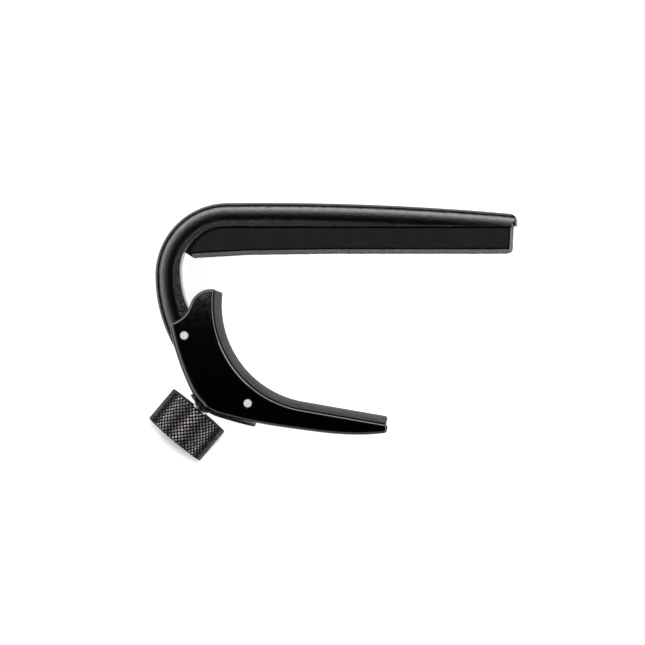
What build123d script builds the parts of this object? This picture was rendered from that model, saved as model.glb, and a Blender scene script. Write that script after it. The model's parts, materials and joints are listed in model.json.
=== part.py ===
from build123d import *
import math
import os

# A guitar capo lying on its side. X runs along the upper arm towards its tip, Y from the
# jaw up to the arm, and Z across the capo. Outlines are drawn about a point close to the
# pivot pin, and every piece is moved at the end so that the origin is under the middle of
# the box. Lengths are millimetres, angles are degrees, counterclockwise from +X.

ORIGIN = (29.83, 0.57)  # middle of the outline's box

# Layers across the capo
JAW_WIDTH = 13.4
MID = JAW_WIDTH / 2
JAW_WALL = 2.05
FRAME_WIDTH = 9.0
FRET_PAD_WIDTH = 8.2
JAW_PAD_WIDTH = 12.8
STRIP_WIDTH = 12.8

# Frame: arm, bend, shank and forked tail. The sides are crowned: they fall away towards the
# outside of the bend along a quarter ellipse, CROWN_REACH deep and CROWN_DROP high
ARM_TOP_SLOPE = 0.76  # where the arm leaves the bend
ARM_TOP_RADIUS = 558.0
ARM_UNDERSIDE = 21.5
ARM_TIP_X = 66.55
ARM_TIP_ROUNDING = 1.9
TIP_OVERRUN = 0.2  # degrees by which the crown runs on past the tip
BEND_CENTRE = (8.78, 11.8)
BEND_RADIUS = 14.43
BEND_INNER_CENTRE = (8.0, 12.9)
BEND_INNER_RADIUS = 8.6
SHANK_RADIUS = 29.0
SHANK_INNER_RADIUS = 20.0
SHANK_FOOT_Y = -2.8
SHANK_INNER_FOOT_Y = 4.4
CROWN_REACH = 3.6
CROWN_DROP = 1.9
FRAME_INNER_ROUNDING = 0.25
PIVOT_BOSS_RADIUS = 2.8
BOSS_TOP_ANGLE = 40.0
BOSS_LOW_ANGLE = -15.0
TAIL_BACK = (2.11, -7.39)
CHEEK_START = 240.0
CHEEK_END = 410.0
KEY_START_X = 10.0
KEY_END_X = 60.0
KEY_DEPTH = 1.2
KEY_WIDTH = 4.0
KEY_GAP = 0.1

# Fret pad
FRET_FACE_Y = 16.4
FRET_FACE_START_X = 28.0
FRET_FACE_BREAK = (12.5, 16.15)  # between here and the toe the face slopes more
FRET_PAD_END_X = 65.6
FRET_PAD_BEVEL = 0.8
FRET_PAD_DRAFT = 0.2
FRET_PAD_STRIKE = 0.7  # width of the chamfer round its sides
FRET_PAD_LEFT_RADIUS = 8.4
FRET_PAD_LEFT_ANGLE = 156.0
FRET_PAD_TOE = (1.9, 15.55)

# Jaw
NECK_CENTRE = (27.2, 5.96)
NECK_RADIUS = 19.85
JAW_PAD_THICKNESS = 1.2
JAW_PAD_TOP_Y = 8.4
JAW_PAD_FACE_INSET = 0.15
JAW_PAD_BACK_INSET = 0.35
JAW_EDGE_RADIUS = NECK_RADIUS + JAW_PAD_THICKNESS
JAW_WEB = 1.3
NECK_END_ANGLE = 260.1
TAIL_SLOPE = NECK_END_ANGLE - 270.0
TAIL_TIP_X = 40.75
CHANNEL_TOP_Y = 12.0
CHANNEL_END_X = 37.0
CHANNEL_OPEN = (-10.0, -25.0)  # a point well outside the jaw, towards which the channel is open
CORNER_CENTRE = (10.0, -6.8)
CORNER_RADIUS = 9.4
CORNER_START = 206.0
CORNER_END = 254.2
JAW_BACK_RADIUS = 50.0
JAW_BOTTOM = ((14.8, -17.55), (24.4, -19.02), (34.0, -19.88), (40.45, -19.52))
JAW_BOTTOM_END_SLOPE = 7.4
JAW_ROUNDING = 0.6
BACK_CROWN = (1.3, 0.7)  # reach and drop of the deeper rounding down the jaw's back
BACK_CROWN_ANGLE = 225.0  # where it starts to fade on the corner
BACK_CROWN_FADE = 8.0
FADE_ANGLE = 40.0
EAR_OVERRUN = 3.0
HORN_Y = 8.95
HORN_SHOULDER = (5.2, 9.0)
HORN_CROWN = (2.86, 8.0)
BROW = (1.45, 5.9)
EAR_Y = 2.2
EAR_ROUNDING = 1.2
TIP_ROUNDING = 0.8
HORN_ROUNDING = 0.8

# Pivot and spring pins
PIVOT = (0.3, -0.2)
PIN_RADIUS = 1.0
PIN_CHAMFER = 0.25
RUNNING_GAP = 0.05
SPRING_PIN = (12.88, -13.63)
BUSH_RADIUS = 1.6
WASHER_RADIUS = 2.4
WASHER_THICKNESS = 0.3
WASHER_RECESS = 0.2

# Screw line: it passes through the centre of the jaw's rounded corner. Stations along it
# are measured from the jaw's corner, positive into the jaw.
SCREW_ANGLE = 50.0
NUT_STATION = 6.2
NUT_SIZE = (4.0, 5.2, 3.5)
TRUNNION_LENGTH = 8.3
FORK_RADIUS = 1.8
FORK_GAP = 5.4
FORK_CUT_RADIUS = 3.0
NUT_CHAMFER = 0.3
THREAD_RADIUS = 1.2
SHOULDER_RADIUS = 1.4
SCREW_TIP = 8.0
STRIP_GAP = 0.12
STRIP_THICKNESS = 0.45
STRIP_START = 211.5
STRIP_BREAK = 252.0
STRIP_END = 257.1
STRIP_FLAT_RADIUS = 85.0
STRIP_CORNER = 1.5
STRIP_HOLE_RADIUS = 1.35
THRUST_WASHER = (1.7, 0.4)
KNOB_RADIUS = 6.7
KNOB_LENGTH = 7.6
KNOB_TOP = -1.53
KNOB_CHAMFER = 0.25
CAP_RADIUS = 4.5
CAP_THICKNESS = 0.6
HEAD_RADIUS = 3.0
HEAD_HEIGHT = 1.6
SLOT_WIDTH = 0.8
SLOT_DEPTH = 0.7
SCREW_CHAMFER = 0.3
CLIP_RADIUS = 1.9
CLIP_THICKNESS = 0.4
CLIP_STATION = 0.15
CLIP_MOUTH = 1.5
GROOVE_DEPTH = 0.25
GROOVE_GAP = 0.02

# Return spring: a coil against each jaw wall, a leg under each fork cheek and a bail
# between the coils that rests on the web
WIRE_RADIUS = 0.2
COIL_RADIUS = 1.3
COIL_TURNS = 3.5
COIL_PITCH = 0.46
SPRING_SIDE_GAP = 0.25
LEG_TILT = 3.0
LEG_GAP = 0.08
BAIL_REACH = 4.6
BAIL_GAP = 0.05


def polar(centre, radius, angle):
    """The point at this angle on a circle."""
    a = math.radians(angle)
    return (centre[0] + radius * math.cos(a), centre[1] + radius * math.sin(a))


def arc(centre, radius, start, end):
    """An arc about a centre, from one angle to another."""
    angles = (start, (start + end) / 2, end)
    return ThreePointArc(*[polar(centre, radius, angle) for angle in angles])


def angle_at_y(centre, radius, y):
    """The angle at which the left half of a circle reaches this Y."""
    return 180.0 - math.degrees(math.asin((y - centre[1]) / radius))


def plate(edges, width, corners=()):
    """A closed outline extruded to this width about the mid plane.

    Each of the corners is a point of the outline and the radius that it is rounded to.
    """
    face = make_face(Curve() + edges)
    for point, radius in corners:
        corner = face.vertices().sort_by_distance((point[0], point[1], 0))[0]
        face = fillet(corner, radius)
    return extrude(Pos(0, 0, MID - width / 2) * face, amount=width, dir=(0, 0, 1))


def closed(edges):
    """The edges with a straight edge from the last point back to the first."""
    return edges + [Line(edges[-1] @ 1, edges[0] @ 0)]


def rod(centre, radius, low, high):
    """A cylinder along Z between two heights."""
    return Pos(centre[0], centre[1], (low + high) / 2) * Cylinder(radius, high - low)


SCREW_DIRECTION = (math.cos(math.radians(SCREW_ANGLE)), math.sin(math.radians(SCREW_ANGLE)))
SCREW_ZERO = polar(CORNER_CENTRE, CORNER_RADIUS, SCREW_ANGLE + 180.0)
NUT_CENTRE = polar(SCREW_ZERO, NUT_STATION, SCREW_ANGLE)


def on_screw(station):
    """The frame on the screw line at a station, its Z along the line and its Y across the capo."""
    point = polar(SCREW_ZERO, station, SCREW_ANGLE)
    across = (-SCREW_DIRECTION[1], SCREW_DIRECTION[0], 0)
    return Plane(origin=(point[0], point[1], MID), x_dir=across, z_dir=(*SCREW_DIRECTION, 0)).location


def turned(radius, start, end):
    """A cylinder about the screw line between two stations."""
    return on_screw((start + end) / 2) * Cylinder(radius, end - start)


def edges_along(part, edges, heights):
    """The part's edges that lie over the given outline edges at the given heights."""
    found = []
    for edge in part.edges():
        middle = edge.position_at(0.5)
        if min(abs(middle.Z - height) for height in heights) > 1e-4:
            continue
        flat = Vector(middle.X, middle.Y, 0)
        if min(outline.distance_to(flat) for outline in edges) < 1e-4:
            found.append(edge)
    return found


def crowned_section(half_width, drop, reach, depth):
    """The edges of a section, in X inwards from 0 to depth and Y across, with two crowned corners."""
    flat = half_width - drop
    upper = EllipticalCenterArc((reach, flat), reach, drop, 90, arc_size=90)
    lower = EllipticalCenterArc((reach, -flat), reach, drop, 180, arc_size=90)
    return closed([
        Line((depth, -half_width), (depth, half_width)),
        Line((depth, half_width), (reach, half_width)),
        upper,
        Line((0, flat), (0, -flat)),
        lower,
    ])


def arm_tip_profile():
    """A slab along the whole frame whose end, over the arm's tip, is rounded like the crown."""
    end = crowned_section(FRAME_WIDTH / 2, CROWN_DROP, ARM_TIP_ROUNDING, ARM_TIP_X + 2 * BEND_RADIUS)
    slab = extrude(make_face(Curve() + end), amount=4 * BEND_RADIUS)
    turned_over = Plane(origin=(ARM_TIP_X, -BEND_RADIUS, MID), x_dir=(-1, 0, 0), z_dir=(0, 1, 0))
    return turned_over.location * slab


def make_c_frame():
    low, high = MID - FRAME_WIDTH / 2, MID + FRAME_WIDTH / 2
    arm_start_angle = 90 + ARM_TOP_SLOPE
    arm_centre = polar(BEND_CENTRE, BEND_RADIUS - ARM_TOP_RADIUS, arm_start_angle)
    arm_end_angle = math.degrees(math.acos((ARM_TIP_X - arm_centre[0]) / ARM_TOP_RADIUS))
    shank_centre = (BEND_CENTRE[0] - BEND_RADIUS + SHANK_RADIUS, BEND_CENTRE[1])
    shank_end = angle_at_y(shank_centre, SHANK_RADIUS, SHANK_FOOT_Y)
    tip_low = (ARM_TIP_X, ARM_UNDERSIDE)
    tip_top = polar(arm_centre, ARM_TOP_RADIUS, arm_end_angle)
    outer = [
        arc(arm_centre, ARM_TOP_RADIUS, arm_end_angle, arm_start_angle),
        arc(BEND_CENTRE, BEND_RADIUS, arm_start_angle, 180),
        arc(shank_centre, SHANK_RADIUS, 180, shank_end),
    ]
    inner_centre = (BEND_INNER_CENTRE[0] - BEND_INNER_RADIUS + SHANK_INNER_RADIUS, BEND_INNER_CENTRE[1])
    inner_start = angle_at_y(inner_centre, SHANK_INNER_RADIUS, SHANK_INNER_FOOT_Y)
    inner = [
        arc(inner_centre, SHANK_INNER_RADIUS, inner_start, 180),
        arc(BEND_INNER_CENTRE, BEND_INNER_RADIUS, 180, 90),
        Line((BEND_INNER_CENTRE[0], ARM_UNDERSIDE), tip_low),
    ]
    shank_foot = outer[-1] @ 1
    boss_top = polar(PIVOT, PIVOT_BOSS_RADIUS, BOSS_TOP_ANGLE)
    root = [Line(shank_foot, boss_top), Line(boss_top, inner[0] @ 0)]
    outline = [Line(tip_low, tip_top)] + outer + root + inner
    frame = plate(outline, FRAME_WIDTH, [(tip_top, ARM_TIP_ROUNDING)])
    frame = fillet(edges_along(frame, inner, (low, high)), FRAME_INNER_ROUNDING)

    beyond_tip = arc(arm_centre, ARM_TOP_RADIUS, arm_end_angle - TIP_OVERRUN, arm_start_angle)
    path = Wire([beyond_tip] + outer[1:])
    along = path % 0
    section_plane = Plane(origin=path @ 0, x_dir=Vector(-along.Y, along.X, 0), z_dir=along)
    section = crowned_section(FRAME_WIDTH / 2, CROWN_DROP, CROWN_REACH, BEND_RADIUS - 1)
    crown = sweep(section_plane * make_face(Curve() + section), path=path)
    frame &= Pos(0, 0, MID) * crown
    frame &= arm_tip_profile()

    cheek_low = polar(NUT_CENTRE, FORK_RADIUS, CHEEK_START)
    cheek_high = polar(NUT_CENTRE, FORK_RADIUS, CHEEK_END)
    boss_low = polar(PIVOT, PIVOT_BOSS_RADIUS, BOSS_LOW_ANGLE)
    frame += rod(PIVOT, PIVOT_BOSS_RADIUS, low, high)
    frame += plate([
        ThreePointArc(shank_foot, TAIL_BACK, cheek_low),
        arc(NUT_CENTRE, FORK_RADIUS, CHEEK_START, CHEEK_END),
        Line(cheek_high, boss_low),
        Line(boss_low, boss_top),
        Line(boss_top, shank_foot),
    ], FRAME_WIDTH)

    keyway = Box(KEY_END_X - KEY_START_X, 2 * KEY_DEPTH, KEY_WIDTH)
    frame -= Pos((KEY_START_X + KEY_END_X) / 2, ARM_UNDERSIDE, MID) * keyway
    frame -= rod(PIVOT, BUSH_RADIUS, low, high)
    for recess in ((low, low + WASHER_RECESS), (high - WASHER_RECESS, high)):
        frame -= rod(PIVOT, WASHER_RADIUS + KEY_GAP, *recess)
    frame -= rod(NUT_CENTRE, FORK_CUT_RADIUS, MID - FORK_GAP / 2, MID + FORK_GAP / 2)
    seat = PIN_RADIUS + RUNNING_GAP
    frame -= rod(NUT_CENTRE, seat, low, high)
    frame -= on_screw(NUT_STATION + FORK_RADIUS) * Box(2 * seat, FRAME_WIDTH, 2 * FORK_RADIUS)
    return frame


def make_fret_pad():
    left_top = polar(BEND_INNER_CENTRE, FRET_PAD_LEFT_RADIUS, 90)
    left_low = polar(BEND_INNER_CENTRE, FRET_PAD_LEFT_RADIUS, FRET_PAD_LEFT_ANGLE)
    corner_centre = (FRET_PAD_END_X - FRET_PAD_BEVEL, FRET_FACE_Y + FRET_PAD_BEVEL)
    end_top = (FRET_PAD_END_X + FRET_PAD_DRAFT, ARM_UNDERSIDE)
    struck = [
        Line(FRET_PAD_TOE, FRET_FACE_BREAK),
        Line(FRET_FACE_BREAK, (FRET_FACE_START_X, FRET_FACE_Y)),
        Line((FRET_FACE_START_X, FRET_FACE_Y), polar(corner_centre, FRET_PAD_BEVEL, 270)),
        arc(corner_centre, FRET_PAD_BEVEL, 270, 360),
        Line(polar(corner_centre, FRET_PAD_BEVEL, 360), end_top),
    ]
    seated = [
        Line(end_top, (left_top[0], ARM_UNDERSIDE)),
        Line((left_top[0], ARM_UNDERSIDE), left_top),
        arc(BEND_INNER_CENTRE, FRET_PAD_LEFT_RADIUS, 90, FRET_PAD_LEFT_ANGLE),
        Line(left_low, FRET_PAD_TOE),
    ]
    pad = plate(struck + seated, FRET_PAD_WIDTH)
    sides = (MID - FRET_PAD_WIDTH / 2, MID + FRET_PAD_WIDTH / 2)
    pad = chamfer(edges_along(pad, struck, sides), FRET_PAD_STRIKE)
    key = Box(KEY_END_X - KEY_START_X - 2 * KEY_GAP, KEY_DEPTH - KEY_GAP, KEY_WIDTH - 2 * KEY_GAP)
    key_y = ARM_UNDERSIDE + (KEY_DEPTH - KEY_GAP) / 2
    return pad + Pos((KEY_START_X + KEY_END_X) / 2, key_y, MID) * key


def make_pivot_bush():
    reach = FRAME_WIDTH / 2 - WASHER_RECESS
    bush = rod(PIVOT, BUSH_RADIUS, MID - reach, MID + reach)
    return bush - rod(PIVOT, PIN_RADIUS + RUNNING_GAP, 0, JAW_WIDTH)


def make_pivot_washers():
    reach = FRAME_WIDTH / 2 - WASHER_RECESS
    washer = rod(PIVOT, WASHER_RADIUS, 0, WASHER_THICKNESS) - rod(PIVOT, PIN_RADIUS + RUNNING_GAP, 0, 1)
    lower = Pos(0, 0, MID - reach - WASHER_THICKNESS) * washer
    upper = Pos(0, 0, MID + reach) * washer
    return Compound(children=[lower, upper])


def tail_point(radius, x):
    """The point at this X on the straight tail that is tangent to a neck circle."""
    start = polar(NECK_CENTRE, radius, NECK_END_ANGLE)
    return (x, start[1] + (x - start[0]) * math.tan(math.radians(TAIL_SLOPE)))


def back_crown_cutter(back_centre, back_end):
    """What the deeper rounding takes off one side of the jaw's back, fading out on the corner."""
    reach, drop = BACK_CROWN
    fade_centre = polar(CORNER_CENTRE, CORNER_RADIUS + BACK_CROWN_FADE, BACK_CROWN_ANGLE)
    fade_start = BACK_CROWN_ANGLE - 180
    path = Wire([
        arc(back_centre, JAW_BACK_RADIUS, back_end - EAR_OVERRUN, CORNER_START),
        arc(CORNER_CENTRE, CORNER_RADIUS, CORNER_START, BACK_CROWN_ANGLE),
        arc(fade_centre, BACK_CROWN_FADE, fade_start, fade_start - FADE_ANGLE),
    ])
    section = closed([
        EllipticalCenterArc((reach, -drop), reach, drop, 90, arc_size=90),
        Line((0, -drop), (-reach, -drop)),
        Line((-reach, -drop), (-reach, drop)),
        Line((-reach, drop), (reach, drop)),
    ])
    along = path % 0
    start = path @ 0
    plane = Plane(origin=(start.X, start.Y, JAW_WIDTH), x_dir=Vector(-along.Y, along.X, 0), z_dir=along)
    return sweep(plane * make_face(Curve() + section), path=Pos(0, 0, JAW_WIDTH) * path)


def make_jaw():
    back_centre = polar(CORNER_CENTRE, CORNER_RADIUS - JAW_BACK_RADIUS, CORNER_START)
    back_end = angle_at_y(back_centre, JAW_BACK_RADIUS, EAR_Y)
    ear = polar(back_centre, JAW_BACK_RADIUS, back_end)
    horn_angle = angle_at_y(NECK_CENTRE, JAW_EDGE_RADIUS, HORN_Y)
    horn_end = polar(NECK_CENTRE, JAW_EDGE_RADIUS, horn_angle)
    brow_curve = ThreePointArc(HORN_SHOULDER, HORN_CROWN, BROW)
    tip_top = tail_point(JAW_EDGE_RADIUS, TAIL_TIP_X)
    tip_low = JAW_BOTTOM[-1]
    corner = arc(CORNER_CENTRE, CORNER_RADIUS, CORNER_START, CORNER_END)
    bottom = Spline(corner @ 1, *JAW_BOTTOM, tangents=[corner % 1, polar((0, 0), 1, JAW_BOTTOM_END_SLOPE)])
    roundings = [
        (ear, EAR_ROUNDING),
        (tip_low, TIP_ROUNDING),
        (tip_top, TIP_ROUNDING),
        (HORN_SHOULDER, HORN_ROUNDING),
    ]
    jaw = plate([
        arc(NECK_CENTRE, JAW_EDGE_RADIUS, NECK_END_ANGLE, horn_angle),
        Line(horn_end, HORN_SHOULDER),
        brow_curve,
        TangentArc(BROW, ear, tangent=brow_curve % 1),
        arc(back_centre, JAW_BACK_RADIUS, back_end, CORNER_START),
        corner,
        bottom,
        Line(tip_low, tip_top),
        Line(tip_top, polar(NECK_CENTRE, JAW_EDGE_RADIUS, NECK_END_ANGLE)),
    ], JAW_WIDTH, roundings)
    jaw = fillet(jaw.faces().filter_by(Axis.Z).edges(), JAW_ROUNDING)
    cutter = back_crown_cutter(back_centre, back_end)
    jaw -= cutter
    jaw -= mirror(cutter, about=Plane.XY.offset(MID))
    web_back = JAW_EDGE_RADIUS + JAW_WEB
    channel_start = angle_at_y(NECK_CENTRE, web_back, CHANNEL_TOP_Y)
    channel_end = tail_point(web_back, CHANNEL_END_X)
    below_end = (CHANNEL_END_X, CHANNEL_OPEN[1])
    channel = closed([
        arc(NECK_CENTRE, web_back, channel_start, NECK_END_ANGLE),
        Line(polar(NECK_CENTRE, web_back, NECK_END_ANGLE), channel_end),
        Line(channel_end, below_end),
        Line(below_end, CHANNEL_OPEN),
        Line(CHANNEL_OPEN, (CHANNEL_OPEN[0], CHANNEL_TOP_Y)),
    ])
    jaw -= plate(channel, JAW_WIDTH - 2 * JAW_WALL)
    for pin in (PIVOT, SPRING_PIN):
        jaw -= rod(pin, PIN_RADIUS, 0, JAW_WIDTH)
    return jaw


def make_jaw_pad():
    top = angle_at_y(NECK_CENTRE, NECK_RADIUS, JAW_PAD_TOP_Y)
    face_end = tail_point(NECK_RADIUS, TAIL_TIP_X - JAW_PAD_FACE_INSET)
    back_end = tail_point(JAW_EDGE_RADIUS, TAIL_TIP_X - JAW_PAD_BACK_INSET)
    return plate([
        arc(NECK_CENTRE, NECK_RADIUS, top, NECK_END_ANGLE),
        Line(polar(NECK_CENTRE, NECK_RADIUS, NECK_END_ANGLE), face_end),
        Line(face_end, back_end),
        Line(back_end, polar(NECK_CENTRE, JAW_EDGE_RADIUS, NECK_END_ANGLE)),
        arc(NECK_CENTRE, JAW_EDGE_RADIUS, NECK_END_ANGLE, top),
        Line(polar(NECK_CENTRE, JAW_EDGE_RADIUS, top), polar(NECK_CENTRE, NECK_RADIUS, top)),
    ], JAW_PAD_WIDTH)


def make_pin(centre):
    pin = rod(centre, PIN_RADIUS, 0, JAW_WIDTH)
    return chamfer(pin.edges().filter_by(GeomType.CIRCLE), PIN_CHAMFER)


def wire_run(start, end):
    """A straight run of spring wire with round ends."""
    a, b = Vector(*start), Vector(*end)
    along = b - a
    run = Plane(origin=(a + b) * 0.5, z_dir=along).location * Cylinder(WIRE_RADIUS, along.length)
    return run + Pos(*a) * Sphere(WIRE_RADIUS) + Pos(*b) * Sphere(WIRE_RADIUS)


def make_return_spring():
    outer_z = JAW_WALL + SPRING_SIDE_GAP + WIRE_RADIUS
    coil_length = COIL_TURNS * COIL_PITCH
    leg_angle = SCREW_ANGLE + 180 + LEG_TILT
    leg_tip = polar(NUT_CENTRE, FORK_RADIUS + WIRE_RADIUS + LEG_GAP, leg_angle)
    helix = Helix(COIL_PITCH, coil_length, COIL_RADIUS)
    profile = Plane(origin=helix @ 0, z_dir=helix % 0) * Circle(WIRE_RADIUS)
    coil = sweep(profile, path=helix, is_frenet=True)
    half = Pos(SPRING_PIN[0], SPRING_PIN[1], outer_z) * Rot(0, 0, leg_angle) * coil
    half += wire_run((*polar(SPRING_PIN, COIL_RADIUS, leg_angle), outer_z), (*leg_tip, outer_z))
    bail_z = outer_z + coil_length
    bail_start = polar(SPRING_PIN, COIL_RADIUS, leg_angle + 360 * COIL_TURNS)
    bail_x = SPRING_PIN[0] + BAIL_REACH
    web_reach = JAW_EDGE_RADIUS + JAW_WEB + WIRE_RADIUS + BAIL_GAP
    bail_y = NECK_CENTRE[1] - math.sqrt(web_reach ** 2 - (bail_x - NECK_CENTRE[0]) ** 2)
    half += wire_run((*bail_start, bail_z), (bail_x, bail_y, bail_z))
    half += wire_run((bail_x, bail_y, bail_z), (bail_x, bail_y, MID))
    return half + mirror(half, about=Plane.XY.offset(MID))


def make_trunnion_nut():
    nut = on_screw(NUT_STATION) * Box(*NUT_SIZE)
    nut = chamfer(nut.edges(), NUT_CHAMFER)
    nut += rod(NUT_CENTRE, PIN_RADIUS, MID - TRUNNION_LENGTH / 2, MID + TRUNNION_LENGTH / 2)
    return nut - turned(THREAD_RADIUS + RUNNING_GAP, NUT_STATION - NUT_SIZE[2], NUT_STATION + NUT_SIZE[2])


def make_saddle_strip():
    near = CORNER_RADIUS + STRIP_GAP
    far = near + STRIP_THICKNESS
    flat_near = STRIP_FLAT_RADIUS
    flat_far = flat_near + STRIP_THICKNESS
    flat_centre = polar(CORNER_CENTRE, near - flat_near, STRIP_BREAK)
    strip = plate([
        arc(CORNER_CENTRE, near, STRIP_START, STRIP_BREAK),
        arc(flat_centre, flat_near, STRIP_BREAK, STRIP_END),
        Line(polar(flat_centre, flat_near, STRIP_END), polar(flat_centre, flat_far, STRIP_END)),
        arc(flat_centre, flat_far, STRIP_END, STRIP_BREAK),
        arc(CORNER_CENTRE, far, STRIP_BREAK, STRIP_START),
        Line(polar(CORNER_CENTRE, far, STRIP_START), polar(CORNER_CENTRE, near, STRIP_START)),
    ], STRIP_WIDTH)
    ends = [edge for edge in strip.edges() if abs(edge.length - STRIP_THICKNESS) < 1e-3]
    strip = fillet(ends, STRIP_CORNER)
    return strip - turned(STRIP_HOLE_RADIUS, 2 * washer_end(), 0)


def washer_end():
    """The station of the saddle strip's outer face, where the thrust washer sits."""
    return -STRIP_GAP - STRIP_THICKNESS


def make_thrust_washer():
    radius, thickness = THRUST_WASHER
    start, end = washer_end() - thickness, washer_end()
    return turned(radius, start, end) - turned(THREAD_RADIUS + RUNNING_GAP, start, end)


def make_adjusting_screw():
    head_start = KNOB_TOP - KNOB_LENGTH + CAP_THICKNESS
    head_end = head_start + HEAD_HEIGHT
    shoulder_end = washer_end() - THRUST_WASHER[1]
    screw = turned(HEAD_RADIUS, head_start, head_end)
    screw -= on_screw(head_start) * Box(2 * HEAD_RADIUS, SLOT_WIDTH, 2 * SLOT_DEPTH)
    screw += turned(SHOULDER_RADIUS, head_end, shoulder_end)
    shank = turned(THREAD_RADIUS, shoulder_end, SCREW_TIP)
    screw += chamfer(shank.edges().filter_by(GeomType.CIRCLE).sort_by(Axis.Y)[-1], SCREW_CHAMFER)
    start, end = CLIP_STATION - GROOVE_GAP, CLIP_STATION + CLIP_THICKNESS + GROOVE_GAP
    groove = turned(THREAD_RADIUS + RUNNING_GAP, start, end)
    return screw - (groove - turned(THREAD_RADIUS - GROOVE_DEPTH, start, end))


def make_retaining_clip():
    end = CLIP_STATION + CLIP_THICKNESS
    bore = THREAD_RADIUS - GROOVE_DEPTH + RUNNING_GAP
    clip = turned(CLIP_RADIUS, CLIP_STATION, end) - turned(bore, CLIP_STATION, end)
    mouth = Pos(0, CLIP_RADIUS, 0) * Box(CLIP_MOUTH, 2 * CLIP_RADIUS, 2 * CLIP_THICKNESS)
    return clip - on_screw(CLIP_STATION + CLIP_THICKNESS / 2) * mouth


def make_knob():
    bottom = KNOB_TOP - KNOB_LENGTH
    knob = turned(KNOB_RADIUS, bottom, KNOB_TOP)
    knob = chamfer(knob.edges().filter_by(GeomType.CIRCLE), KNOB_CHAMFER)
    knob -= turned(SHOULDER_RADIUS, bottom, KNOB_TOP)
    knob -= turned(HEAD_RADIUS, bottom, bottom + CAP_THICKNESS + HEAD_HEIGHT)
    return knob - turned(CAP_RADIUS, bottom, bottom + CAP_THICKNESS)


def make_knob_cap():
    bottom = KNOB_TOP - KNOB_LENGTH
    return turned(CAP_RADIUS, bottom, bottom + CAP_THICKNESS)


PIECES = {
    "c_frame": make_c_frame,
    "fret_pad": make_fret_pad,
    "pivot_bush": make_pivot_bush,
    "pivot_washers": make_pivot_washers,
    "jaw": make_jaw,
    "jaw_pad": make_jaw_pad,
    "pivot_pin": lambda: make_pin(PIVOT),
    "spring_pin": lambda: make_pin(SPRING_PIN),
    "return_spring": make_return_spring,
    "trunnion_nut": make_trunnion_nut,
    "saddle_strip": make_saddle_strip,
    "thrust_washer": make_thrust_washer,
    "adjusting_screw": make_adjusting_screw,
    "retaining_clip": make_retaining_clip,
    "knob": make_knob,
    "knob_cap": make_knob_cap,
}


def main():
    os.makedirs("parts", exist_ok=True)
    for node, make in PIECES.items():
        piece = Pos(-ORIGIN[0], -ORIGIN[1], 0) * make()
        export_step(piece, f"parts/{node}.step")


if __name__ == "__main__":
    main()
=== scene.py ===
import json
import math
import random

import bmesh
import bpy
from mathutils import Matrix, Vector


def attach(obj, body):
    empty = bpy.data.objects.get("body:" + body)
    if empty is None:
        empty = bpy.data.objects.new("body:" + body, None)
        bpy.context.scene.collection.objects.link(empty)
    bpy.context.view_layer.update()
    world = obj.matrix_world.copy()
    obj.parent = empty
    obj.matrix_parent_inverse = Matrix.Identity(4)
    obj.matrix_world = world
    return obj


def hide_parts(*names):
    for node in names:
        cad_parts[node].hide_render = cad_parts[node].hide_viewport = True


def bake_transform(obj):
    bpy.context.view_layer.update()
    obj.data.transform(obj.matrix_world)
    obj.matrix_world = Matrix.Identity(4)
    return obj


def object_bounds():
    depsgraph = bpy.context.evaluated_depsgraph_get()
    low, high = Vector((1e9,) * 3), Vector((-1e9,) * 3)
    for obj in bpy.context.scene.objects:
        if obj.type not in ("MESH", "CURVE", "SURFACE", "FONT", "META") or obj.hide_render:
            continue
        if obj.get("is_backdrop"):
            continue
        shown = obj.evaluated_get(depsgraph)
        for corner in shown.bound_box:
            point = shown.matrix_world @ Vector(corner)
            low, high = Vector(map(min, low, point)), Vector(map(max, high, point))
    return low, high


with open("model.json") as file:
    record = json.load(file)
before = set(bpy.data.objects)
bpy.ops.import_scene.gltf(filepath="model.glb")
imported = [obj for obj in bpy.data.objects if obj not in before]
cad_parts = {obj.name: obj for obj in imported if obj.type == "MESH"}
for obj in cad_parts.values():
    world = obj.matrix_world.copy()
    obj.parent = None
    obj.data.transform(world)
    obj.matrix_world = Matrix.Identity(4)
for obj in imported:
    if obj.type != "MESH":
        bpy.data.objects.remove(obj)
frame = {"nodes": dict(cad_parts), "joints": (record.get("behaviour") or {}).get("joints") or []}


def plain_bounds():
    return json.loads(json.dumps(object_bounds(), default=lambda v: [float(x) for x in v]))


size = {"cad": plain_bounds()}
random.seed(7)

MM = 0.001
JOINTS = {joint["name"]: joint for joint in frame["joints"]}
PIVOT = Vector(JOINTS["jaw_pivot"]["pos_m"])
NUT = Vector(JOINTS["nut_swivel"]["pos_m"])
SCREW_ZERO = Vector(JOINTS["knob_spin"]["pos_m"])
SCREW_AXIS = Vector(JOINTS["knob_spin"]["axis"]).normalized()
MID = PIVOT.z / MM
PIVOT_IN_DRAWING = (0.3, -0.2)
DRAWING = PIVOT - Vector((*PIVOT_IN_DRAWING, 0)) * MM  # the point that the outlines are drawn about
SPRING_PIN = (12.88, -13.63)
ACROSS = Vector((0, 0, 1))
SIDEWAYS = ACROSS.cross(SCREW_AXIS)


# ---------------------------------------------------------------- node materials

NOISE_ROUGHNESS = 0.55
COLOUR_BAND = (0.3, 0.7)
ROUGHNESS_BAND = (0.35, 0.65)
ROUGHNESS_GRAIN = 2.3
# the band of upright-ness over which the painted wall shade gives way to full gloss
WALL_SHADE_BAND = (0.1, 0.45)
FULL_GLOSS = 0.5


def new_material(name):
    """A material with its Principled shader, and the object coordinates in millimetres."""
    material = bpy.data.materials.new(name)
    material.use_nodes = True
    nodes = material.node_tree.nodes
    shader = nodes["Principled BSDF"]
    coordinates = nodes.new("ShaderNodeTexCoord")
    scale = nodes.new("ShaderNodeVectorMath")
    scale.operation = "SCALE"
    scale.inputs["Scale"].default_value = 1 / MM
    material.node_tree.links.new(coordinates.outputs["Object"], scale.inputs[0])
    return material, shader, scale.outputs[0]


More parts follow.
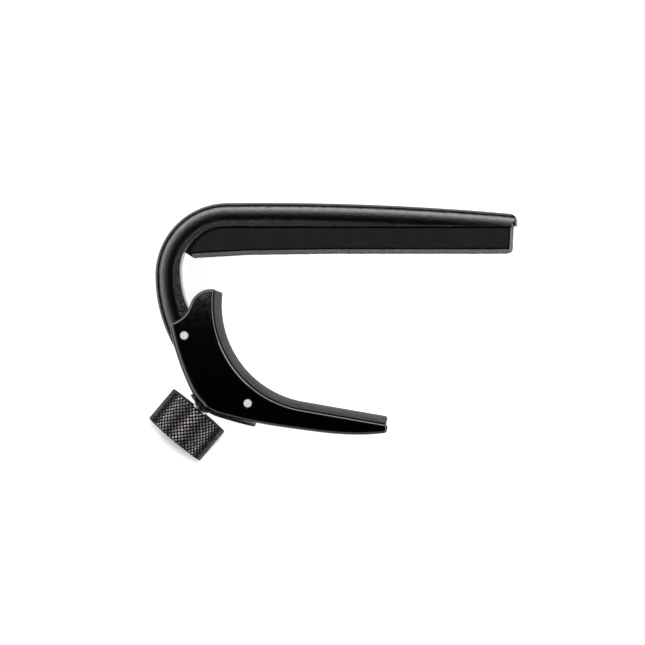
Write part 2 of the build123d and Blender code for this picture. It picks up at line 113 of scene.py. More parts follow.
def noise(material, where, per_mm, detail=4.0):
    """A noise texture's value, with this many features a millimetre."""
    tree = material.node_tree
    texture = tree.nodes.new("ShaderNodeTexNoise")
    texture.inputs["Scale"].default_value = per_mm
    texture.inputs["Detail"].default_value = detail
    texture.inputs["Roughness"].default_value = NOISE_ROUGHNESS
    tree.links.new(where, texture.inputs["Vector"])
    return texture.outputs["Fac"]


def ramp(tree, value, stops):
    """A colour ramp over (position, colour) stops; a colour may be one grey value."""
    node = tree.nodes.new("ShaderNodeValToRGB")
    elements = node.color_ramp.elements
    while len(elements) < len(stops):
        elements.new(0.5)
    for element, (position, colour) in zip(elements, stops):
        if not hasattr(colour, "__len__"):
            colour = (colour, colour, colour)
        element.position = position
        element.color = (*colour, 1)
    tree.links.new(value, node.inputs["Fac"])
    return node.outputs["Color"]


def bump(material, shader, value, distance_mm):
    """Height from a value, stacked on any earlier bump of the shader."""
    tree = material.node_tree
    node = tree.nodes.new("ShaderNodeBump")
    node.inputs["Distance"].default_value = distance_mm * MM
    node.inputs["Strength"].default_value = 1.0
    tree.links.new(value, node.inputs["Height"])
    if shader.inputs["Normal"].is_linked:
        tree.links.new(shader.inputs["Normal"].links[0].from_socket, node.inputs["Normal"])
    tree.links.new(node.outputs[0], shader.inputs["Normal"])


def finish(name, colours, roughness, metallic=0.0, ior=1.5, grain=1.5, peel=(), wall_shade_gloss=None):
    """A painted, rubber or metal finish.

    colours and roughness are the values at the low and high ends of a noise; peel is a list of
    (features per mm, height in mm) for the surface's own relief. The last argument is how much gloss
    is left on the walls that stand upright as the capo lies: painted shade, darkening those walls.
    """
    material, shader, where = new_material(name)
    tree = material.node_tree
    link = tree.links.new
    value = noise(material, where, grain)
    link(ramp(tree, value, list(zip(COLOUR_BAND, colours))), shader.inputs["Base Color"])
    rough = noise(material, where, grain * ROUGHNESS_GRAIN, detail=3.0)
    link(ramp(tree, rough, list(zip(ROUGHNESS_BAND, roughness))), shader.inputs["Roughness"])
    shader.inputs["Metallic"].default_value = metallic
    shader.inputs["IOR"].default_value = ior
    # painted shade: the gloss of upright walls is turned down, so they look darker
    if wall_shade_gloss is not None:
        facing = tree.nodes.new("ShaderNodeTexCoord")
        parts = tree.nodes.new("ShaderNodeSeparateXYZ")
        upright = tree.nodes.new("ShaderNodeMath")
        upright.operation = "ABSOLUTE"
        link(facing.outputs["Normal"], parts.inputs[0])
        link(parts.outputs["Z"], upright.inputs[0])
        gloss = ramp(tree, upright.outputs[0], list(zip(WALL_SHADE_BAND, (wall_shade_gloss, FULL_GLOSS))))
        link(gloss, shader.inputs["Specular IOR Level"])
    for per_mm, height in peel:
        bump(material, shader, noise(material, where, per_mm, detail=2.0), height)
    return material


CASTING = finish("satin_black_casting", [(0.0004, 0.00035, 0.0004), (0.0012, 0.001, 0.0011)],
                 [0.1, 0.18], ior=1.52, grain=1.2, peel=[(1.7, 0.03), (5.0, 0.004)], wall_shade_gloss=0.05)
GLOSS = finish("gloss_black_paint", [(0.0002, 0.0002, 0.0002), (0.0005, 0.0005, 0.0005)],
               [0.03, 0.05], ior=1.6, grain=0.5, peel=[(0.35, 0.004)], wall_shade_gloss=0.05)
FRET_SIDE = finish("fret_rubber", [(0.0036, 0.0026, 0.0027), (0.0056, 0.0042, 0.0042)], [0.6, 0.72],
                   ior=1.18, grain=0.5, peel=[(4.0, 0.004)], wall_shade_gloss=0.1)
# painted highlight: a lighter copy of the fret rubber for the struck edge's chamfers, which catch the
# light
FRET_EDGE_HIGHLIGHT = finish("fret_rubber_edge_highlight", [(0.042, 0.039, 0.039), (0.12, 0.113, 0.113)], [0.5, 0.7],
                   ior=1.45, grain=2.5, peel=[(3.0, 0.02)], wall_shade_gloss=0.1)
JAW_RUBBER = finish("jaw_rubber", [(0.014, 0.0118, 0.0115), (0.042, 0.0365, 0.0355)], [0.55, 0.8],
                    ior=1.45, grain=2.6, peel=[(2.5, 0.045), (6.0, 0.03)], wall_shade_gloss=0.1)
STEEL = finish("turned_steel", [(0.5, 0.5, 0.51), (0.62, 0.62, 0.62)], [0.45, 0.62],
               metallic=1.0, grain=4.0, peel=[(6.0, 0.003)])
BRIGHT_STEEL = finish("threaded_steel", [(0.52, 0.52, 0.54), (0.66, 0.66, 0.67)], [0.22, 0.36],
                      metallic=1.0, grain=2.0, peel=[(5.0, 0.004)])
SPRING = finish("spring_wire", [(0.42, 0.42, 0.44), (0.56, 0.56, 0.57)], [0.25, 0.4],
                metallic=1.0, grain=3.0, peel=[(8.0, 0.003)])
BLUED = finish("blued_spring_steel", [(0.0015, 0.0015, 0.0018), (0.004, 0.004, 0.0045)], [0.16, 0.28],
               ior=1.35, grain=1.5, peel=[(2.0, 0.004)], wall_shade_gloss=0.02)
BRONZE = finish("sintered_bronze", [(0.42, 0.27, 0.13), (0.6, 0.42, 0.22)], [0.35, 0.5],
                metallic=1.0, grain=5.0, peel=[(8.0, 0.006)])
NYLON = finish("nylon", [(0.68, 0.67, 0.62), (0.76, 0.75, 0.71)], [0.4, 0.5],
               ior=1.53, grain=2.0, peel=[(3.0, 0.004)])
KNURLING = finish("black_nickel_knurl", [(0.03, 0.0275, 0.027), (0.15, 0.14, 0.138)], [0.12, 0.22],
                  metallic=1.0, grain=1.1, peel=[(6.0, 0.006)])
TURNED = finish("black_nickel_turned", [(0.012, 0.011, 0.0108), (0.024, 0.022, 0.0216)], [0.2, 0.32],
                metallic=1.0, grain=0.8, peel=[(5.0, 0.004)])
# painted shade: a darker, barely glossy copy of the knurl's black nickel for its grooves and ends
GROOVE_SHADE = finish("black_nickel_groove_shade", [(0.001, 0.0009, 0.0009), (0.003, 0.0027, 0.0027)], [0.4, 0.55],
                 ior=1.12, grain=1.1, peel=[(6.0, 0.006)], wall_shade_gloss=0.05)

NODE_MATERIALS = {
    "c_frame": CASTING, "fret_pad": FRET_SIDE, "pivot_bush": BRONZE, "pivot_washers": NYLON,
    "jaw": GLOSS, "jaw_pad": JAW_RUBBER, "pivot_pin": STEEL, "spring_pin": STEEL,
    "return_spring": SPRING, "trunnion_nut": BRIGHT_STEEL, "saddle_strip": BLUED,
    "thrust_washer": BLUED, "adjusting_screw": BRIGHT_STEEL, "retaining_clip": BLUED,
    "knob": KNURLING, "knob_cap": TURNED,
}


def dress(obj, material):
    """Gives a piece its material."""
    obj.data.materials.clear()
    obj.data.materials.append(material)


for node_name, node_object in frame["nodes"].items():
    dress(node_object, NODE_MATERIALS[node_name])


# ---------------------------------------------------------------- meshes of revolution

def piece(name, vertices, faces, material, node, body, smooth_angle,
          edge_material=None, edge_faces=()):
    """A new mesh piece that stands for a CAD node.

    Edges bent by more than smooth_angle degrees stay sharp; edge_faces are the faces in its
    second material. A piece without a body is not attached to any.
    second material. A piece without a body is blended between two of them by its caller.
    """
    mesh = bpy.data.meshes.new(name)
    mesh.from_pydata([tuple(v) for v in vertices], [], faces)
    mesh.update()
    shape = bmesh.new()
    shape.from_mesh(mesh)
    bmesh.ops.recalc_face_normals(shape, faces=shape.faces)
    for edge in shape.edges:
        joined = len(edge.link_faces) == 2
        edge.smooth = not joined or edge.calc_face_angle(0) < math.radians(smooth_angle)
    shape.to_mesh(mesh)
    shape.free()
    obj = bpy.data.objects.new(name, mesh)
    bpy.context.scene.collection.objects.link(obj)
    dress(obj, material)
    if edge_material is not None:
        obj.data.materials.append(edge_material)
    for polygon in mesh.polygons:
        polygon.use_smooth = True
        polygon.material_index = 1 if polygon.index in edge_faces else 0
    if body is not None:
        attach(obj, body)
    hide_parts(node)
    return obj


def screw_point(radius, angle, station):
    """A point about the screw line; the angle is in turns, the radius and station in mm."""
    turn = 2 * math.pi * angle
    out = SIDEWAYS * math.cos(turn) + ACROSS * math.sin(turn)
    return SCREW_ZERO + (SCREW_AXIS * station + out * radius) * MM


def ring_faces(rings, around):
    """Four-sided faces between rings that have this many points each."""
    faces = []
    for j in range(rings - 1):
        for i in range(around):
            k = (i + 1) % around
            faces.append((j * around + i, j * around + k, (j + 1) * around + k, (j + 1) * around + i))
    return faces


def revolved(rows, around):
    """Closed rings about the screw line; each row is (station, radius or a radius by turn)."""
    vertices = []
    for station, radius in rows:
        for i in range(around):
            turn = i / around
            r = radius(turn) if callable(radius) else radius
            vertices.append(screw_point(r, turn, station))
    return vertices, ring_faces(len(rows), around)


def ridge(x):
    """A triangle wave of period 1: 0 at whole numbers, 1 half way between them."""
    return 1 - abs(2 * (x % 1.0) - 1)


# The knob: diamond knurling of crossed left-hand and right-hand grooves
KNOB_RADIUS = 6.7
KNOB_TOP = -1.53
KNOB_LENGTH = 7.6
KNURL_STARTS = 46
KNURL_STEPS = 8
KNURL_DEPTH = 0.16
KNURL_FLAT = 0.05
KNURL_CHAMFER = 0.1
KNURL_DARK = 0.42
KNOB_FLAT = 6.0
RECESS_RADIUS = 4.53
RECESS_LIP = 4.6
RECESS_DEPTH = 0.64
BORE_RADIUS = 1.6
BORE_LIP = 1.75
BORE_DEPTH = 2.0
around = KNURL_STARTS * KNURL_STEPS
knurl_pitch = 2 * math.pi * KNOB_RADIUS / KNURL_STARTS
knurl_rows = 2 * round(KNOB_LENGTH / knurl_pitch * KNURL_STEPS / 2)
knob_bottom = KNOB_TOP - KNOB_LENGTH


def knurl_height(row, turn):
    """How high the knurling stands at a row of the grid, from 0 in a groove to 1 on a diamond."""
    along = row / KNURL_STEPS
    a = ridge(turn * KNURL_STARTS + along)
    b = ridge(turn * KNURL_STARTS - along)
    return min(min(a, b) / (1 - KNURL_FLAT), 1.0)


def knurl_radius(row, turn):
    """The knurled radius at a row of the grid."""
    from_end = min(row, knurl_rows - row) * KNOB_LENGTH / knurl_rows
    limit = KNOB_RADIUS - max(0.0, KNURL_CHAMFER - from_end)
    return min(KNOB_RADIUS - KNURL_DEPTH * (1 - knurl_height(row, turn)), limit)


def knurl_row(row):
    """The knurled ring at a row of the grid, with its radius by turn."""
    return (knob_bottom + row * KNOB_LENGTH / knurl_rows, lambda turn: knurl_radius(row, turn))


knob_rows = [(knob_bottom + RECESS_DEPTH, RECESS_RADIUS), (knob_bottom + 0.06, RECESS_RADIUS),
             (knob_bottom, RECESS_LIP), (knob_bottom, KNOB_FLAT)]
first = len(knob_rows)
knob_rows += [knurl_row(row) for row in range(knurl_rows + 1)]
last = len(knob_rows) - 1
knob_rows += [(KNOB_TOP, KNOB_FLAT), (KNOB_TOP, BORE_LIP), (KNOB_TOP - 0.15, BORE_RADIUS),
              (KNOB_TOP - BORE_DEPTH, BORE_RADIUS)]
vertices, faces = revolved(knob_rows, around)
# the two ends and the grooves are the darker faces: painted shade in the knob's grooves, recesses and
# ends
dark_faces = set(range(first * around)) | set(range(last * around, len(faces)))
dark_faces |= {(first + row) * around + i for row in range(knurl_rows) for i in range(around)
               if knurl_height(row + 0.5, (i + 0.5) / around) < KNURL_DARK}
knob = piece("knurled_knob", vertices, faces, KNURLING, "knob", "knob", smooth_angle=24.0,
             edge_material=GROOVE_SHADE, edge_faces=dark_faces)

# The adjusting screw: a 60-degree thread of 0.45 mm pitch on a plain shoulder with a head
THREAD_PITCH = 0.45
THREAD_STEPS = 8
THREAD_DEPTH = 0.26
THREAD_RADIUS = 1.2
THREAD_END = 8.0
SHOULDER_RADIUS = 1.4
SHOULDER_END = -0.97
RELIEF_START = 0.12
RELIEF_END = 0.62
RELIEF_RADIUS = 0.95
COLLAR_RADIUS = 1.15
HEAD_RADIUS = 2.9
HEAD_HEIGHT = 1.4
HEAD_CHAMFER = 0.2
HEAD_INSET = 0.66
THREAD_CHAMFER = 0.3
CLOSED = 0.02  # the radius at which an end is closed
THREAD_AROUND = 48


def thread_radius(station, turn):
    """The thread's radius, run out at the tip and next to the relief."""
    crest = ridge(station / THREAD_PITCH - turn)
    height = min(max(1.25 * crest - 0.1, 0.0), 1.0)
    run_in = min(max((station - RELIEF_END) / THREAD_PITCH, 0.0), 1.0)
    limit = THREAD_RADIUS - max(0.0, station - THREAD_END + THREAD_CHAMFER)
    return min(THREAD_RADIUS - THREAD_DEPTH * (1 - height * run_in), limit)


def thread_row(station):
    """The thread's ring at a station, with its radius by turn."""
    return (station, lambda turn: thread_radius(station, turn))


thread_rows = round((THREAD_END - RELIEF_END) / THREAD_PITCH * THREAD_STEPS)
head_bottom = knob_bottom + HEAD_INSET
screw_rows = [(head_bottom, CLOSED), (head_bottom, 2.7), (head_bottom + HEAD_CHAMFER, HEAD_RADIUS),
              (head_bottom + HEAD_HEIGHT, HEAD_RADIUS), (head_bottom + 1.45, SHOULDER_RADIUS),
              (SHOULDER_END - 0.1, SHOULDER_RADIUS), (SHOULDER_END, SHOULDER_RADIUS - 0.1),
              (SHOULDER_END, COLLAR_RADIUS), (RELIEF_START, COLLAR_RADIUS),
              (RELIEF_START + 0.01, RELIEF_RADIUS), (RELIEF_END - 0.05, RELIEF_RADIUS)]
screw_rows += [thread_row(RELIEF_END + i * (THREAD_END - RELIEF_END) / thread_rows)
               for i in range(thread_rows + 1)]
screw_rows += [(THREAD_END, CLOSED)]
vertices, faces = revolved(screw_rows, THREAD_AROUND)
piece("threaded_screw", vertices, faces, BRIGHT_STEEL, "adjusting_screw", "knob", smooth_angle=50.0)


# The pins: a turned head inside a thin groove at each end
PIN_AROUND = 48
PIN_RADIUS = 1.0
PIN_HEAD_RADIUS = 0.81
PIN_FLAT = 0.76
PIN_CHAMFER = 0.05
PIN_GROOVE = 1.6


def upright(centre, rows):
    """Closed rings about an upright line through a point; each row is (height, radius) in mm."""
    vertices = []
    for height, radius in rows:
        for i in range(PIN_AROUND):
            turn = 2 * math.pi * i / PIN_AROUND
            out = Vector((math.cos(turn), math.sin(turn), 0)) * radius * MM
            vertices.append(Vector((centre.x, centre.y, height * MM)) + out)
    return vertices, ring_faces(len(rows), PIN_AROUND)


end_rows = [(0.0, CLOSED), (0.0, PIN_FLAT), (PIN_CHAMFER, PIN_HEAD_RADIUS),
            (PIN_GROOVE, PIN_HEAD_RADIUS), (PIN_GROOVE, PIN_RADIUS)]
pin_rows = end_rows + [(2 * MID - height, radius) for height, radius in reversed(end_rows)]
for pin_name, pin_node, centre in (
        ("turned_pivot_pin", "pivot_pin", PIVOT),
        ("turned_spring_pin", "spring_pin", DRAWING + Vector((*SPRING_PIN, 0)) * MM)):
    vertices, faces = upright(centre, pin_rows)
    piece(pin_name, vertices, faces, STEEL, pin_node, "jaw", smooth_angle=30.0)

# The knob's cap: a shallow turned dish, as (height above the knob's end, radius)
CAP_AROUND = 96
CAP_PROFILE = [(0.6, CLOSED), (0.6, 4.42), (0.1, 4.46), (0, 4.36), (0, 3.1), (0.04, 2.95),
               (0.16, 2.8), (0.2, 2.4), (0.2, CLOSED)]
cap_rows = [(knob_bottom + height, radius) for height, radius in CAP_PROFILE]
vertices, faces = revolved(cap_rows, CAP_AROUND)
piece("turned_cap", vertices, faces, TURNED, "knob_cap", "knob", smooth_angle=30.0)


# ---------------------------------------------------------------- rubber pads

POINT_STEP = 0.35


def polar(centre, radius, angle):
    """A point on a circle, in mm about the drawing's point; the angle is in degrees."""
    a = math.radians(angle)
    return (centre[0] + radius * math.cos(a), centre[1] + radius * math.sin(a))


def divided(a, b, count):
    """This many points from a towards b, without b."""
    return [(a[0] + (b[0] - a[0]) * i / count, a[1] + (b[1] - a[1]) * i / count) for i in range(count)]


def run(points, step=POINT_STEP):
    """Points along straight lines between these, about a step apart, without the last one."""
    found = []
    for a, b in zip(points, points[1:]):
        found += divided(a, b, max(1, round(math.dist(a, b) / step)))
    return found


def curve(centre, radius, start, end):
    """Points along an arc, about a step apart, without the last one."""
    count = max(2, round(abs(math.radians(end - start)) * radius / POINT_STEP))
    return [polar(centre, radius, start + (end - start) * i / count) for i in range(count)]


def placed(x, y, z):
    """A point in mm about the drawing's point, in the shared frame."""
    return Vector((DRAWING.x + x * MM, DRAWING.y + y * MM, z * MM))


def inset(outline, distance):
    """A counterclockwise outline moved inwards by a distance."""
    found = []
    for i, (x, y) in enumerate(outline):
        along = (Vector(outline[(i + 1) % len(outline)]) - Vector(outline[i - 1])).normalized()
        found.append((x - along.y * distance, y + along.x * distance))
    return found


def layered(rows):
    """A slab between two sides, as rows of (outline, height), with equally many points each."""
    n = len(rows[0][0])
    vertices = [placed(x, y, height) for outline, height in rows for x, y in outline]
    faces = ring_faces(len(rows), n)
    faces.append(tuple(range(n))[::-1])
    faces.append(tuple(range((len(rows) - 1) * n, len(rows) * n)))
    return vertices, faces


def both_sides(side_rows):
    """(inset, height) rows from the lower side of the mid plane to the upper one."""
    rows = [(distance, MID - height) for distance, height in reversed(side_rows)]
    return rows + [(distance, MID + height) for distance, height in side_rows]


def ragged(point, amount):
    """A point moved a little, as a cut or flashed rubber edge is."""
    return (point[0] + random.uniform(-amount, amount), point[1] + random.uniform(-amount, amount))


# Fret pad: a raised side panel inside a thin groove, and a struck edge whose chamfers carry a painted
# highlight
FACE_COUNTS = (30, 44, 104)
CORNER_COUNT = 6
END_COUNT = 12
SEAT_COUNTS = (58, 28, 6)
STRUCK_COUNT = sum(FACE_COUNTS) + CORNER_COUNT + END_COUNT
STRUCK_RAGGED = 0.025
STRUCK_Y = 16.2
TOE = (1.9, 15.35)
TOE_SLANT = 0.3
TOE_RISE = (12.5, 15.95)
FACE_START_X = 28.0
PAD_END_X = 65.6
PAD_CORNER = 0.8
LEAST_CORNER = 0.1
SEAT_END_X = 65.8
SEAT_TOP = 21.45
SEAT_LIP = 0.3
BEND_CENTRE = (8.0, 12.9)
BEND_RADIUS = 8.4
BEND_SPREAD = 0.15
BEND_SWEEP = 66
BEND_SWEEP_LESS = 4.1
BEND_LIP = 0.9
jitter = [ragged((0, 0), STRUCK_RAGGED) for i in range(STRUCK_COUNT)]


def fret_outline(d):
    """The fret pad's outline, its struck edges moved inwards by a distance, its seat by less."""
    corner = max(PAD_CORNER - d, LEAST_CORNER)
    x, y = PAD_END_X - d - corner, STRUCK_Y + d + corner
    toe = (TOE[0] - TOE_SLANT * d, TOE[1] + d)
    rise = (TOE_RISE[0], TOE_RISE[1] + d)
    stations = [toe, rise, (FACE_START_X, STRUCK_Y + d), (x, STRUCK_Y + d)]
    points = []
    for a, b, count in zip(stations, stations[1:], FACE_COUNTS):
        points += divided(a, b, count)
    points += [polar((x, y), corner, 270 + 90 * i / CORNER_COUNT) for i in range(CORNER_COUNT)]
    top = SEAT_TOP - SEAT_LIP * d
    points += divided((PAD_END_X - d, y), (SEAT_END_X - d, top - 0.05), END_COUNT)
    points = [(px + jx, py + jy) for (px, py), (jx, jy) in zip(points, jitter)]
    points += divided((SEAT_END_X - d, top), (BEND_CENTRE[0], top), SEAT_COUNTS[0])
    arc = []
    for i in range(SEAT_COUNTS[1] + 1):
        share = i / SEAT_COUNTS[1]
        lip = SEAT_LIP + (BEND_LIP - SEAT_LIP) * share
        radius = BEND_RADIUS + BEND_SPREAD * (1 - share) - lip * d
        arc.append(polar(BEND_CENTRE, radius, 90 + (BEND_SWEEP - BEND_SWEEP_LESS * d) * share))
    return points + arc[:-1] + divided(arc[-1], toe, SEAT_COUNTS[2])


# (inset, height from the mid plane): the struck edge, the groove and the raised panel
FRET_ROWS = [(0.0, 3.42), (0.08, 3.52), (0.72, 4.0), (0.8, 3.5), (0.94, 3.5), (1.02, 4.06), (1.08, 4.1)]
vertices, faces = layered([(fret_outline(d), height) for d, height in both_sides(FRET_ROWS)])
count = STRUCK_COUNT + sum(SEAT_COUNTS)
steps = len(FRET_ROWS) - 1
# the chamfers along the struck edge take the painted highlight
edge_bands = [steps - 2, steps - 1, steps + 1, steps + 2]
edge_faces = {j * count + i for j in edge_bands for i in range(STRUCK_COUNT)}
piece("fret_rubber_pad", vertices, faces, FRET_SIDE, "fret_pad", "frame", smooth_angle=28.0,
      edge_material=FRET_EDGE_HIGHLIGHT, edge_faces=edge_faces)

# Jaw pad: a moulded strip of even thickness, cut off roughly at both ends
NECK = (27.2, 5.96)
NECK_RADIUS = 19.85
PAD_BACK_RADIUS = 21.05
NECK_END = 260.1
FACE_HORN_Y = 8.25
BACK_HORN_Y = 8.5
HORN_CUT_Y = (8.75, 8.35)
FACE_TAIL_X = 40.5
TAIL_CUT_X = (40.6, 40.4)
TAIL_CUT_STEP = 0.2
HORN_CUT_STEP = 0.15
TAIL_RAGGED = 0.07
HORN_RAGGED = 0.09
JAW_PAD_ROWS = [(0.0, 6.15), (0.05, 6.32), (0.16, 6.4)]


def tail_point(radius, x):
    """The point at this X on the straight tail behind a neck circle."""
    start = polar(NECK, radius, NECK_END)
    return (x, start[1] + (x - start[0]) * math.tan(math.radians(NECK_END - 270)))


def neck_angle(radius, y):
    """The angle at which the left half of a neck circle reaches this Y."""
    return 180 - math.degrees(math.asin((y - NECK[1]) / radius))


face_points = curve(NECK, NECK_RADIUS, neck_angle(NECK_RADIUS, FACE_HORN_Y), NECK_END)
face_points += run([polar(NECK, NECK_RADIUS, NECK_END), tail_point(NECK_RADIUS, FACE_TAIL_X)])
back_tail = tail_point(PAD_BACK_RADIUS, TAIL_CUT_X[1])
tail_cut = run([tail_point(NECK_RADIUS, TAIL_CUT_X[0]), back_tail], TAIL_CUT_STEP)
tail_cut = [ragged(point, TAIL_RAGGED) for point in tail_cut]
back_points = run([back_tail, polar(NECK, PAD_BACK_RADIUS, NECK_END)])
back_points += curve(NECK, PAD_BACK_RADIUS, NECK_END, neck_angle(PAD_BACK_RADIUS, BACK_HORN_Y))
horn_cut = run([polar(NECK, PAD_BACK_RADIUS, neck_angle(PAD_BACK_RADIUS, HORN_CUT_Y[0])),
                polar(NECK, NECK_RADIUS, neck_angle(NECK_RADIUS, HORN_CUT_Y[1]))], HORN_CUT_STEP)
horn_cut = [ragged(point, HORN_RAGGED) for point in horn_cut]
outline = face_points + tail_cut + back_points + horn_cut
outline.reverse()
vertices, faces = layered([(inset(outline, d), height) for d, height in both_sides(JAW_PAD_ROWS)])
piece("jaw_rubber_pad", vertices, faces, JAW_RUBBER, "jaw_pad", "jaw", smooth_angle=50.0)


# ---------------------------------------------------------------- return spring

WIRE_RADIUS = 0.2
COIL_RADIUS = 1.3
COIL_PITCH = 0.46
COIL_START_Z = 2.5
COIL_TURNS = 3
COIL_STEPS = 40
WIRE_SIDES = 12
WIRE_STEP = 0.5
LEG_REACH = 2.08
LEG_TURN = 183
BAIL_TIP = (17.48, -14.443)
BAIL_BEND = 0.5
BAIL_STEPS = 8
screw_angle = math.degrees(math.atan2(SCREW_AXIS.y, SCREW_AXIS.x))
nut_centre = ((NUT.x - DRAWING.x) / MM, (NUT.y - DRAWING.y) / MM)
leg_tip = polar(nut_centre, LEG_REACH, screw_angle + LEG_TURN)


def tangent_angle(point, side):
    """The angle on the coil where the tangent through a point touches it."""
    dx, dy = point[0] - SPRING_PIN[0], point[1] - SPRING_PIN[1]
    spread = math.degrees(math.acos(COIL_RADIUS / math.hypot(dx, dy)))
    return math.degrees(math.atan2(dy, dx)) + side * spread


def spring_half():
    """The wire's centreline in mm, from a leg's tip almost to the middle of the bail."""
    start = tangent_angle(leg_tip, 1)
    end = tangent_angle(BAIL_TIP, -1) % 360 + 360 * COIL_TURNS
    turns = (end - start % 360) / 360
    leg_end = polar(SPRING_PIN, COIL_RADIUS, start)
    points = [(x, y, COIL_START_Z) for x, y in run([leg_tip, leg_end], WIRE_STEP)]
    for i in range(round(turns * COIL_STEPS) + 1):
        turn = min(i / COIL_STEPS, turns)
        x, y = polar(SPRING_PIN, COIL_RADIUS, start + turn * 360)
        points.append((x, y, COIL_START_Z + COIL_PITCH * turn))
    level = points[-1][2]
    last = points[-1][:2]
    reach = math.dist(last, BAIL_TIP)
    short = [last[k] + (BAIL_TIP[k] - last[k]) * (1 - BAIL_BEND / reach) for k in (0, 1)]
    points += [(x, y, level) for x, y in run([last, short], WIRE_STEP)[1:]]
    for i in range(BAIL_STEPS + 1):
        t = i / BAIL_STEPS
        corner = [(1 - t) ** 2 * short[k] + (1 - (1 - t) ** 2) * BAIL_TIP[k] for k in (0, 1)]
        points.append((*corner, level + BAIL_BEND * t * t))
    points.append((*BAIL_TIP, (level + BAIL_BEND + MID) / 2))
    return points


half = spring_half()
wire = half + [(*BAIL_TIP, MID)] + [(x, y, 2 * MID - z) for x, y, z in reversed(half)]
wire = [placed(x, y, z) for x, y, z in wire]
vertices = []
normal = Vector((0, 0, 1))
for i, point in enumerate(wire):
    along = (wire[min(i + 1, len(wire) - 1)] - wire[max(i - 1, 0)]).normalized()
    normal = (normal - along * normal.dot(along)).normalized()
    other = along.cross(normal)
    for k in range(WIRE_SIDES):
        turn = 2 * math.pi * k / WIRE_SIDES
        out = normal * math.cos(turn) + other * math.sin(turn)
        vertices.append(point + out * WIRE_RADIUS * MM)
faces = ring_faces(len(wire), WIRE_SIDES)
faces.append(tuple(range(WIRE_SIDES))[::-1])
faces.append(tuple(range(len(vertices) - WIRE_SIDES, len(vertices))))
spring = piece("coiled_spring", vertices, faces, SPRING, "return_spring", None, smooth_angle=50.0)
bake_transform(spring)


# ---------------------------------------------------------------- floor, light and camera

CAMERA_HEIGHT = 0.6
FIELD_WIDTH = 0.1282
FIELD_PLANE = 0.011
CAMERA_XY = (-0.00213, 0.00181)
SUN_TOWARD = (0.1, 0.13, 1.0)
SUN_ANGLE = 0.22
SUN_STRENGTH = 5.1
RING_STRENGTH = 8.6
RING_LEAN = (0.07, 0.45, 0)
RING_MIDDLE = 0.6
GLINT = (-0.0375, 0.0415, 1.0)
GLINT_EDGE = 0.034
GLINT_CORE = 0.006
GLINT_STRENGTH = 11.0
BACKDROP = (0.92, 0.92, 0.93)
FLOOR_SIZE = 3.0
FLOOR_GAP = 0.00002

bpy.ops.mesh.primitive_plane_add(size=FLOOR_SIZE, location=(0, 0, -FLOOR_GAP))
floor = bpy.context.object
floor.name = "floor"
FLOOR = finish("studio_floor", [(0.5, 0.5, 0.5), (0.52, 0.52, 0.52)], [0.85, 0.9],
               ior=1.3, grain=0.02)
floor.data.materials.append(FLOOR)
floor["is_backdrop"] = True

# a soft lamp that lights only the floor, and that only the knob shades
sun_data = bpy.data.lights.new("floor_light", "SUN")
sun_data.energy = SUN_STRENGTH
sun_data.angle = SUN_ANGLE
sun = bpy.data.objects.new("floor_light", sun_data)
sun.rotation_euler = Vector(SUN_TOWARD).to_track_quat("Z", "Y").to_euler()
sun.visible_glossy = False
bpy.context.scene.collection.objects.link(sun)
lit = bpy.data.collections.new("lit_by_floor_light")
lit.objects.link(floor)
sun.light_linking.receiver_collection = lit
shading = bpy.data.collections.new("shades_floor_light")
shading.objects.link(knob)
sun.light_linking.blocker_collection = shading

world = bpy.data.worlds.new("studio")
bpy.context.scene.world = world
world.use_nodes = True
tree = world.node_tree
background = tree.nodes["Background"]
direction = tree.nodes.new("ShaderNodeTexCoord")
separate = tree.nodes.new("ShaderNodeSeparateXYZ")
tree.links.new(direction.outputs["Generated"], separate.inputs[0])
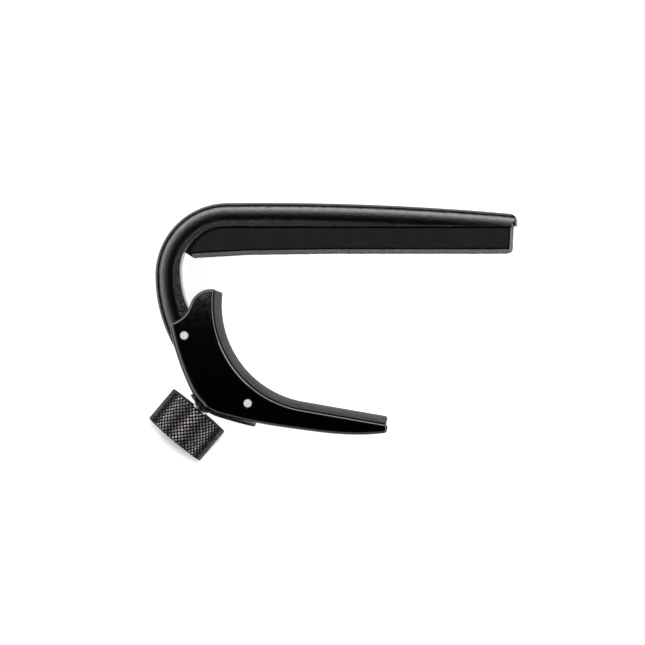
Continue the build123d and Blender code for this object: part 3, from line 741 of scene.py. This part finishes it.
# light by height: a bright soft ring between the dark horizon and the dark zenith
band = ramp(tree, separate.outputs["Z"], [
    (0.0, 0.0), (0.3, 0.01), (0.42, 0.15), (0.53, 1.0), (0.66, 0.9), (0.78, 0.4), (0.88, 0.1),
    (0.94, 0.015), (0.98, 0.0)])
lean = tree.nodes.new("ShaderNodeVectorMath")
lean.operation = "DOT_PRODUCT"
lean.inputs[1].default_value = RING_LEAN
tree.links.new(direction.outputs["Generated"], lean.inputs[0])
offset = tree.nodes.new("ShaderNodeMath")
offset.operation = "ADD"
offset.inputs[1].default_value = RING_MIDDLE
tree.links.new(lean.outputs["Value"], offset.inputs[0])
strength = tree.nodes.new("ShaderNodeMath")
strength.operation = "MULTIPLY"
strength.inputs[1].default_value = RING_STRENGTH
tree.links.new(offset.outputs[0], strength.inputs[0])
tree.links.new(band, background.inputs["Color"])
tree.links.new(strength.outputs[0], background.inputs["Strength"])
# a small soft lamp almost overhead, towards the bend
toward = tree.nodes.new("ShaderNodeVectorMath")
toward.operation = "DOT_PRODUCT"
toward.inputs[1].default_value = Vector(GLINT).normalized()
tree.links.new(direction.outputs["Generated"], toward.inputs[0])
falloff = tree.nodes.new("ShaderNodeMapRange")
falloff.interpolation_type = "SMOOTHSTEP"
falloff.inputs["From Min"].default_value = math.cos(GLINT_EDGE)
falloff.inputs["From Max"].default_value = math.cos(GLINT_CORE)
falloff.inputs["To Max"].default_value = GLINT_STRENGTH
tree.links.new(toward.outputs["Value"], falloff.inputs["Value"])
glint = tree.nodes.new("ShaderNodeBackground")
tree.links.new(falloff.outputs[0], glint.inputs["Strength"])
both = tree.nodes.new("ShaderNodeAddShader")
tree.links.new(background.outputs[0], both.inputs[0])
tree.links.new(glint.outputs[0], both.inputs[1])
backdrop = tree.nodes.new("ShaderNodeBackground")
backdrop.inputs["Color"].default_value = (*BACKDROP, 1)
seen = tree.nodes.new("ShaderNodeLightPath")
mix = tree.nodes.new("ShaderNodeMixShader")
tree.links.new(seen.outputs["Is Camera Ray"], mix.inputs[0])
tree.links.new(both.outputs[0], mix.inputs[1])
tree.links.new(backdrop.outputs[0], mix.inputs[2])
tree.links.new(mix.outputs[0], tree.nodes["World Output"].inputs["Surface"])

camera_data = bpy.data.cameras.new("camera")
camera_data.sensor_width = 36.0
camera_data.angle = 2 * math.atan(FIELD_WIDTH / 2 / (CAMERA_HEIGHT - FIELD_PLANE))
camera_data.clip_start = 0.05
camera_data.clip_end = 20.0
camera = bpy.data.objects.new("camera", camera_data)
camera.location = (*CAMERA_XY, CAMERA_HEIGHT)
bpy.context.scene.collection.objects.link(camera)
bpy.context.scene.camera = camera
bpy.context.scene.view_settings.view_transform = "Standard"
bpy.context.scene.view_settings.look = "None"

size["scene"] = plain_bounds()
